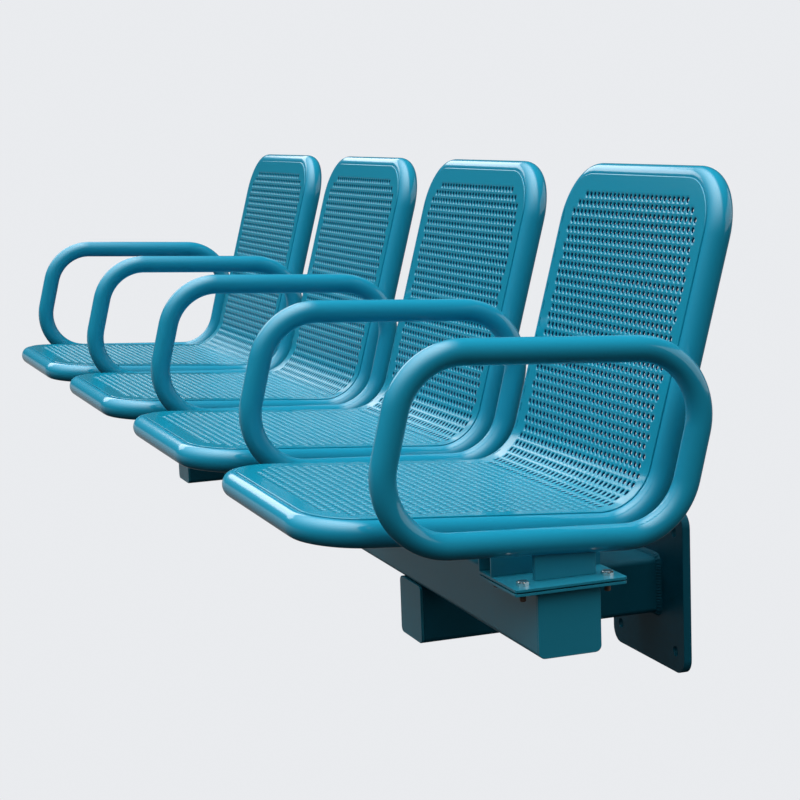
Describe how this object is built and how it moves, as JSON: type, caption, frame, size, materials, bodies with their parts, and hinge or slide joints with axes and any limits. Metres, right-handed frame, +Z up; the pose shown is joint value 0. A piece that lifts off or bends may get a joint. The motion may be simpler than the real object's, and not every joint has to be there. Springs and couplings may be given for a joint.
{
  "type": "wall-mounted beam seating",
  "caption": "Row of perforated steel seats with tubular rims and closed-loop armrests on a square beam, carried by cantilever arms bolted to a wall.",
  "frame": {"origin": "on the wall, midway between the two cantilever arms, at the height of their centre line", "axes": "+X along the beam, +Y into the wall, +Z up; the seats face -Y"},
  "size_m": [2.27, 0.6241, 0.7089],
  "materials": {
    "seat_paint": "gloss powder coat",
    "frame_paint": "semi-gloss powder coat",
    "bolt_steel": "zinc plated"
  },
  "bodies": {
    "root": {"beam_tube": "frame_paint", "beam_end_cap_left": "frame_paint", "arm_left": "frame_paint", "arm_front_cap_left": "frame_paint", "arm_weld_left": "frame_paint", "wall_plate_left": "frame_paint", "beam_end_cap_right": "frame_paint", "arm_right": "frame_paint", "arm_front_cap_right": "frame_paint", "arm_weld_right": "frame_paint", "wall_plate_right": "frame_paint", "clamp_lower_1": "frame_paint", "clamp_upper_1": "frame_paint", "seat_riser_1_right": "frame_paint", "armrest_web_1": "frame_paint", "clamp_lower_2": "frame_paint", "clamp_upper_2": "frame_paint", "seat_riser_2_left": "frame_paint", "seat_riser_2_right": "frame_paint", "armrest_web_2": "frame_paint", "clamp_lower_3": "frame_paint", "clamp_upper_3": "frame_paint", "seat_riser_3_left": "frame_paint", "seat_riser_3_right": "frame_paint", "armrest_web_3": "frame_paint", "clamp_lower_4": "frame_paint", "clamp_upper_4": "frame_paint", "seat_riser_4_left": "frame_paint", "seat_riser_4_right": "frame_paint", "armrest_web_4": "frame_paint", "clamp_lower_5": "frame_paint", "clamp_upper_5": "frame_paint", "seat_riser_5_left": "frame_paint", "armrest_web_5": "frame_paint", "seat_rim_1": "seat_paint", "seat_sheet_1": "seat_paint", "armrest_loop_1": "seat_paint", "seat_rim_2": "seat_paint", "seat_sheet_2": "seat_paint", "armrest_loop_2": "seat_paint", "seat_rim_3": "seat_paint", "seat_sheet_3": "seat_paint", "armrest_loop_3": "seat_paint", "seat_rim_4": "seat_paint", "seat_sheet_4": "seat_paint", "armrest_loop_4": "seat_paint", "armrest_loop_5": "seat_paint", "clamp_bolts_1": "bolt_steel", "clamp_bolts_2": "bolt_steel", "clamp_bolts_3": "bolt_steel", "clamp_bolts_4": "bolt_steel", "clamp_bolts_5": "bolt_steel"}
  },
  "joints": []
}
